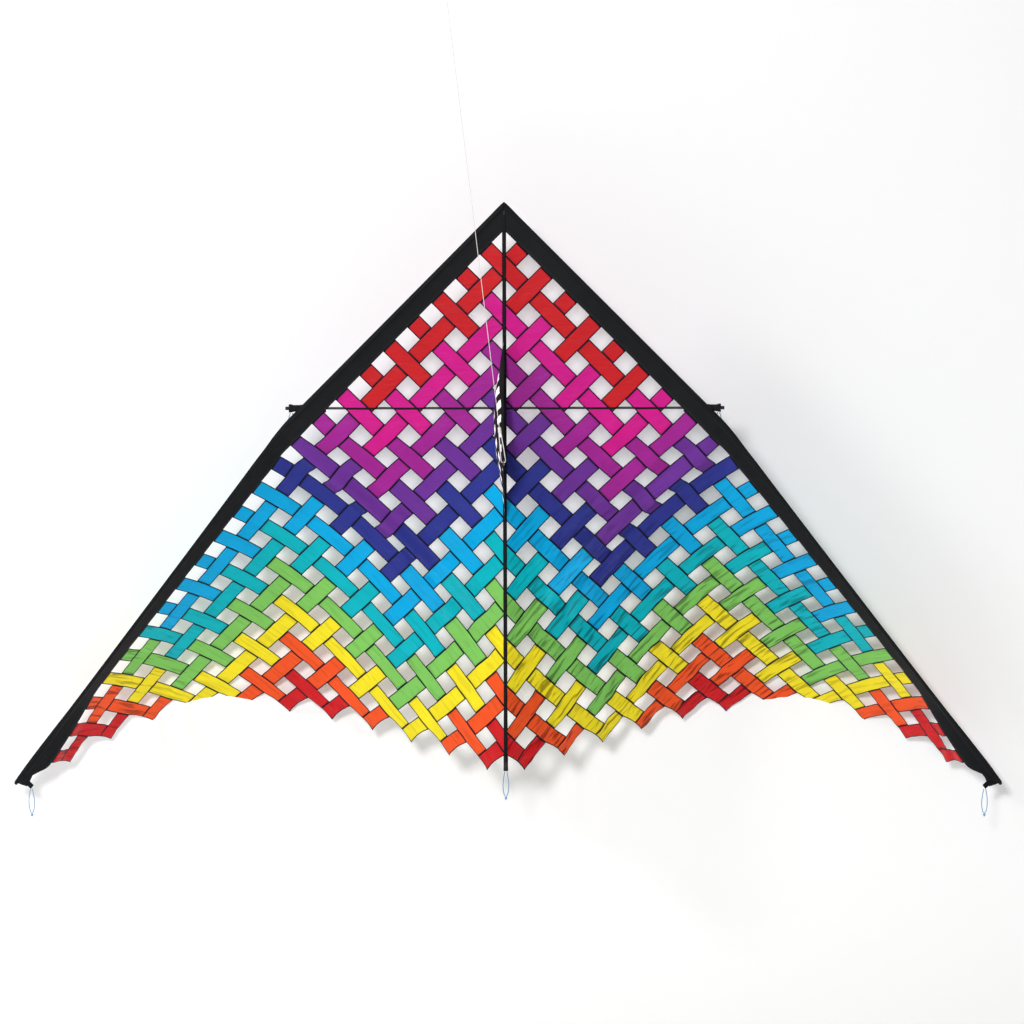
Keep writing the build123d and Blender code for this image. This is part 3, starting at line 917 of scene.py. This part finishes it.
def keel_panel():
    """Dark cloth with pale windows on the bias, bellied to the left, with a hem along its edges."""
    bm = grid(144, 80)
    flat = read_points(bm)
    s, t = flat[:, 0], flat[:, 1]
    root_z = -KEEL_TOP + s * (KEEL_TOP - KEEL_BOTTOM)
    apex_z = -TOW_BELOW_NOSE + (0.5 - s) * KEEL_APEX
    edge_pull = KEEL_EDGE_PULL * 4 * t * (1 - t) * (1 - 2 * s)
    z = root_z + t * (apex_z - root_z) - edge_pull
    y = -KEEL_ROOT + t * (KEEL_ROOT - KEEL_DEPTH)
    bulge = -KEEL_BULGE * np.sin(np.pi * t**0.6) * np.sin(np.pi * s**0.7)
    gathers = np.array([noise.noise(Vector((b * 9.0, c * 24.0, 1.0))) for b, c in zip(y, z)])
    x = bulge + KEEL_GATHER * gathers * np.sin(np.pi * t)
    layer = bm.loops.layers.uv.new("cut")
    bm.verts.index_update()
    for face in bm.faces:
        for loop in face.loops:
            k = loop.vert.index
            loop[layer].uv = (z[k], y[k])
        centre = face.calc_center_median()
        k = face.verts[0].index
        u, v = (y[k] + z[k]) / KEEL_SQUARE, (y[k] - z[k]) / KEEL_SQUARE
        hemmed = min(centre.x, 1 - centre.x) * (1 - centre.y) < KEEL_HEM
        near_eyelet = math.hypot(y[k] + TOW_DEPTH, z[k] + TOW_BELOW_NOSE) < EYELET_PATCH
        window = math.floor(u) % 2 == 0 and math.floor(v) % 2 == 0
        plain = hemmed or near_eyelet or centre.y <= KEEL_ROOT_HEM
        face.material_index = int(window and not plain)
    set_points(bm, np.stack([x, y, z], axis=1) + np.array(NOSE))
    hole = [
        face
        for face in bm.faces
        if math.hypot(face.calc_center_median().y, face.calc_center_median().z) < EYELET_CUT
    ]
    bmesh.ops.delete(bm, geom=hole, context="FACES")
    piece = new_piece("keel_cloth", bm, [KEEL_CLOTH, KEEL_WINDOW])
    thick = piece.modifiers.new("thickness", "SOLIDIFY")
    thick.thickness = KEEL_SHEET
    thick.offset = 0.0
    return piece


keel = keel_panel()
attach(keel, "keel")
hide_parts("keel_panel")


# ---- webbing ------------------------------------------------------------------------------------
POCKET_FRONT = 0.0050
POCKET_HALF_HEIGHT = 0.0080
POCKET_FLARE = 0.0020


def spreader_pocket(name, side):
    """Folded webbing round the rod, from inside the band to past the leading edge."""
    low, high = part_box(name)
    length, middle_z = high.x - low.x, (low.z + high.z) / 2
    back = high.y - NOSE.y
    outer = high.x if side > 0 else low.x

    def shape(u, v):
        x = outer - side * u * length
        flare = np.exp(-((u / 0.10) ** 4)) + eased(u, 0.22, 0.5)
        half_height = POCKET_HALF_HEIGHT + POCKET_FLARE * flare
        angle = 2 * np.pi * v
        thick = (back - POCKET_FRONT) / 2
        y = POCKET_FRONT + thick - thick * np.sign(np.cos(angle)) * np.abs(np.cos(angle)) ** 0.8
        z = half_height * np.sign(np.sin(angle)) * np.abs(np.sin(angle)) ** 0.55
        z = z + 0.0006 * np.sin(u * 38.0) * np.abs(np.cos(angle))
        return np.stack([x, y + NOSE.y, z + middle_z], axis=1)

    def cut(u, v):
        return np.stack([v * 0.05, u * length], axis=1)

    bm = closed_ends(lofted(60, 36, shape, cut))
    return new_piece(f"{name}_webbing", bm, [WEBBING])


def strap(name, path, width, thickness, across, body, *replaced):
    """A strip of webbing that follows a path, its width along across."""
    path = np.array([list(point) for point in path])
    across = np.array(list(Vector(across).normalized()))
    run = np.concatenate([[0.0], np.cumsum(np.linalg.norm(np.diff(path, axis=0), axis=1))])

    def on_path(distance):
        return np.stack([np.interp(distance, run, path[:, k]) for k in range(3)], axis=-1)

    def shape(u, v):
        step = 0.0006
        distance = u * run[-1]
        ahead = on_path(np.minimum(distance + step, run[-1]))
        behind = on_path(np.maximum(distance - step, 0.0))
        tangent = ahead - behind
        tangent /= np.linalg.norm(tangent, axis=1, keepdims=True)
        out = np.cross(tangent, across)
        out /= np.linalg.norm(out, axis=1, keepdims=True)
        angle = 2 * np.pi * v
        wide = np.sign(np.cos(angle)) * np.abs(np.cos(angle)) ** 0.3 * width / 2
        deep = np.sign(np.sin(angle)) * np.abs(np.sin(angle)) ** 0.6 * thickness / 2
        return on_path(distance) + out * deep[:, None] + across * wide[:, None]

    def cut(u, v):
        across_strap = width * (0.5 + 0.5 * np.cos(2 * np.pi * v))
        return np.stack([u * run[-1], across_strap], axis=1)

    bm = closed_ends(lofted(48, 24, shape, cut))
    piece = new_piece(name, bm, [WEBBING])
    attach(piece, body)
    if replaced:
        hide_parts(*replaced)
    return piece


def round_spar(centre, towards, across, radius, reach, turns=24):
    """A path from reach away, round a spar and back; towards points from the spar to its ends."""
    towards, across = Vector(towards).normalized(), Vector(across).normalized()
    out = towards.cross(across)
    points = [centre + towards * reach + out * 0.0009]
    points.append(centre + towards * (radius * 2.4) + out * 0.0012)
    for k in range(turns + 1):
        angle = math.radians(40.0 + 280.0 * k / turns)
        points.append(centre + towards * (radius * math.cos(angle)) + out * (radius * math.sin(angle)))
    points.append(centre + towards * (radius * 2.4) - out * 0.0012)
    points.append(centre + towards * reach - out * 0.0009)
    return points


TIP_STRAP_THICKNESS = 0.0011
TAIL_STRAP_THICKNESS = 0.0015
WRAP_RADIUS = 0.0046
WRAP_STEPS = 32

for half_name, side in SIDES.items():
    pocket = spreader_pocket(f"{half_name}_spreader_pocket", side)
    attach(pocket, f"{half_name}_spreader_arm")
    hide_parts(f"{half_name}_spreader_pocket")
    _, lower_way = leading_edge_directions()
    tab_at = WING_LENGTH - CAP_GRIP - GAP - TAB_WIDTH / 2
    spar_point = Vector(from_nose(leading_edge_point(tab_at), side))
    spar_way = Vector(lower_way * np.array([side, 1.0, 1.0]))
    corner = Vector(from_nose(TABLE[LAST + MARGIN, MARGIN], side))
    inwards = corner - spar_point
    drop = inwards - spar_way * inwards.dot(spar_way)
    path = round_spar(spar_point, drop, spar_way, SLEEVE_RADIUS + 0.0016, drop.length + 0.003)
    strap(
        f"{half_name}_tip_strap",
        path,
        TAB_WIDTH * 0.8,
        TIP_STRAP_THICKNESS,
        spar_way,
        f"{half_name}_wing",
        f"{half_name}_tip_tab",
    )

tail_low, tail_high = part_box("spine_tail_tab")
blade_y = tail_high.y - 0.0008
strap(
    "spine_tail_strap",
    [(0.0, blade_y, tail_high.z), (0.0, blade_y + 0.0004, tail_high.z - 0.02), (0.0, blade_y, tail_low.z)],
    TAIL_TAB_WIDTH,
    TAIL_STRAP_THICKNESS,
    (1.0, 0.0, 0.0),
    "frame",
    "spine_tail_tab",
)
wrap_path = [
    (
        WRAP_RADIUS * math.sin(2 * math.pi * k / WRAP_STEPS),
        NOSE.y + SPINE_BACK + WRAP_RADIUS * math.cos(2 * math.pi * k / WRAP_STEPS),
        tail_high.z - TAB_WIDTH / 2,
    )
    for k in range(WRAP_STEPS + 1)
]
strap("spine_tail_wrap", wrap_path, TAB_WIDTH, TIP_STRAP_THICKNESS, (0.0, 0.0, 1.0), "frame")


# ---- cords --------------------------------------------------------------------------------------
def cord_curve(name, points, diameter, material, closed=False):
    data = bpy.data.curves.new(name, "CURVE")
    data.dimensions = "3D"
    data.bevel_depth = diameter / 2
    data.bevel_resolution = 4
    data.resolution_u = 12
    data.use_fill_caps = not closed
    spline = data.splines.new("NURBS")
    spline.points.add(len(points) - 1)
    for control, point in zip(spline.points, points):
        control.co = (*point, 1.0)
    spline.order_u = 3
    spline.use_endpoint_u = not closed
    spline.use_cyclic_u = closed
    data.materials.append(material)
    piece = bpy.data.objects.new(name, data)
    bpy.context.scene.collection.objects.link(piece)
    return piece


KNOT_STEPS = 18


def overhand_knot(name, centre, size, diameter, material):
    """A pulled-tight overhand knot: a trefoil of the cord itself."""
    points = []
    for k in range(KNOT_STEPS):
        t = 2 * math.pi * k / KNOT_STEPS
        points.append(
            (
                centre[0] + size * 0.155 * (math.sin(t) + 1.6 * math.sin(2 * t)),
                centre[1] + size * 0.26 * -math.sin(3 * t),
                centre[2] + size * 0.175 * (math.cos(t) - 1.6 * math.cos(2 * t)),
            )
        )
    return cord_curve(name, points, diameter, material, closed=True)


def loop_route(length):
    """A hanging loop from its tab, front view: down one side, round the end and up again."""
    w = LOOP_WIDTH / 2
    left = [(-LOOP_MOUTH * w, 0), (-w, -0.35 * length), (-w, -0.85 * length + w), (-0.4 * w, -length)]
    return left + [(-x, z) for x, z in reversed(left)]


def tail_loop(cad_loop, cad_knot, body, length):
    low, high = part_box(cad_loop)
    top = Vector(((low.x + high.x) / 2, (low.y + high.y) / 2, high.z - 0.0002))
    points = [top + Vector((x, 0.0, z)) for x, z in loop_route(length)]
    loop = cord_curve(f"{cad_loop}_cord", points, CORD, BLUE_CORD)
    knot_low, knot_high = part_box(cad_knot)
    centre = (knot_low + knot_high) / 2
    knot = overhand_knot(f"{cad_knot}_cord", centre, KNOT, CORD * 0.95, BLUE_CORD)
    for piece, node in ((loop, cad_loop), (knot, cad_knot)):
        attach(piece, body)
        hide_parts(node)


for half_name in SIDES:
    for place, loop_length in (("tip", TIP_LOOP_LENGTH), ("spreader", SPREADER_LOOP_LENGTH)):
        stem = f"{half_name}_{place}"
        tail_loop(f"{stem}_loop", f"{stem}_knot", f"{stem}_tail_loop", loop_length)
tail_loop("spine_loop", "spine_knot", "spine_tail_loop", TIP_LOOP_LENGTH)


def tow_line():
    """The loop through the eyelet, and the flying line from its clip, taut along its pull."""
    pull = Vector(
        (
            -math.sin(LINE_LEAN),
            -math.cos(LINE_LEAN) * math.cos(LINE_LIFT),
            math.cos(LINE_LEAN) * math.sin(LINE_LIFT),
        )
    )
    grip, root = pull * TOW_LOOP_LENGTH, pull * TOW_LOOP_ROOT
    across = Vector((1.0, 0.0, 0.0))
    wide = TOW_LOOP_SPREAD + CORD / 2
    route = [
        grip - across * TOW_LOOP_MOUTH,
        root - across * wide,
        -across * TOW_LOOP_SPREAD,
        across * TOW_LOOP_SPREAD,
        root + across * wide,
        grip + across * TOW_LOOP_MOUTH,
    ]
    loop = cord_curve("tow_loop_cord", route, CORD, PALE_LINE)
    start = grip + pull * (CORD / 2 + CLIP_LENGTH)
    end = start + pull * LINE_LENGTH
    points = [start + (end - start) * share for share in (0.0, 0.25, 0.5, 0.75, 1.0)]
    line = cord_curve("flying_line_cord", points, LINE, PALE_LINE)
    knot_low, knot_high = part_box("line_end_knot")
    knot_centre = (knot_low + knot_high) / 2
    knot = overhand_knot("line_end_knot_cord", knot_centre, LINE_KNOT, LINE, PALE_LINE)
    for piece, node in ((loop, "tow_loop"), (line, "flying_line"), (knot, "line_end_knot")):
        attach(piece, "tow_line")
        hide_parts(node)


tow_line()


# ---- finishes of the carried-over parts ---------------------------------------------------------
CAD_FINISHES = {
    CARBON: ["spine_upper_spar", "spine_lower_spar"],
    ALUMINIUM: ["spine_ferrule", "spreader_ferrule"],
    RUBBER: ["spine_end_caps"],
    NICKEL: ["tow_eyelet"],
    PALE_CLIP: ["line_clip"],
}
for half_name in SIDES:
    CAD_FINISHES[CARBON] += [
        f"{half_name}_leading_edge_upper_spar",
        f"{half_name}_leading_edge_lower_spar",
        f"{half_name}_spreader_rod",
    ]
    CAD_FINISHES[ALUMINIUM].append(f"{half_name}_leading_edge_ferrule")
    CAD_FINISHES[RUBBER] += [f"{half_name}_leading_edge_end_caps", f"{half_name}_spreader_end_cap"]
for material, names in CAD_FINISHES.items():
    for name in names:
        slots = nodes[name].data.materials
        slots.clear()
        slots.append(material)


# ---- floor, backdrop and light --------------------------------------------------------------
BACKDROP_WHITE = (0.90, 0.90, 0.90, 1.0)
BACKDROP_GLOW = 0.14
WALL_AT = 0.60
FLOOR_AT = -1.65
COVE = 0.5
STUDIO_RUN = 9.0
STUDIO_WIDTH = 11.0
FLOOR_RUN = 4.05
AIR_LIGHT = 0.20
LIGHTS = {
    "key_light": {"at": (-1.0, -6.9, 2.2), "aim": (0.0, 0.3, 0.0), "size": 0.9, "power": 300.0},
    "edge_light": {"at": (-4.5, -2.6, 3.2), "aim": (0.0, 0.3, -0.2), "size": 1.2, "power": 115.0},
}


def backdrop_paint():
    """Plain white paint.  The wall's far side lets light and sight through, so it hides nothing."""
    material, tree, shader = new_material("backdrop_paint")
    shader.inputs["Base Color"].default_value = BACKDROP_WHITE
    shader.inputs["Roughness"].default_value = 0.9
    shader.inputs["Specular IOR Level"].default_value = 0.0
    shader.inputs["Emission Color"].default_value = (1.0, 1.0, 1.0, 1.0)
    shader.inputs["Emission Strength"].default_value = BACKDROP_GLOW
    clear = add(tree, "ShaderNodeBsdfTransparent")
    facing = add(tree, "ShaderNodeNewGeometry")
    mixed = add(tree, "ShaderNodeMixShader")
    tree.links.new(facing.outputs["Backfacing"], mixed.inputs[0])
    tree.links.new(shader.outputs[0], mixed.inputs[1])
    tree.links.new(clear.outputs[0], mixed.inputs[2])
    output = next(n for n in tree.nodes if n.type == "OUTPUT_MATERIAL")
    tree.links.new(mixed.outputs[0], output.inputs["Surface"])
    return material


def studio():
    """A white floor that turns up into a white wall behind the kite."""

    def shape(u, v):
        run = STUDIO_RUN * v
        turn = COVE * math.pi / 2
        along = np.clip((run - FLOOR_RUN) / turn, 0.0, 1.0) * math.pi / 2
        y = WALL_AT - COVE - np.maximum(FLOOR_RUN - run, 0.0) + COVE * np.sin(along)
        z = FLOOR_AT + COVE * (1 - np.cos(along)) + np.maximum(run - FLOOR_RUN - turn, 0.0)
        return np.stack([(u - 0.5) * STUDIO_WIDTH, y, z], axis=1)

    bm = lofted(2, 120, shape)
    stage = new_piece("studio_backdrop", bm, [backdrop_paint()])


def area_light(name, at, aim, size, power):
    data = bpy.data.lights.new(name, "AREA")
    data.shape = "DISK"
    data.size = size
    data.energy = power
    light = bpy.data.objects.new(name, data)
    light.location = at
    light.rotation_mode = "QUATERNION"
    light.rotation_quaternion = (Vector(at) - Vector(aim)).to_track_quat("Z", "Y")
    bpy.context.scene.collection.objects.link(light)


studio()
for light_name, values in LIGHTS.items():
    area_light(light_name, **values)
world = bpy.data.worlds.new("studio_air")
world.use_nodes = True
world.node_tree.nodes["Background"].inputs[0].default_value = (1.0, 1.0, 1.0, 1.0)
world.node_tree.nodes["Background"].inputs[1].default_value = AIR_LIGHT
bpy.context.scene.world = world
bpy.context.scene.view_settings.view_transform = "Standard"
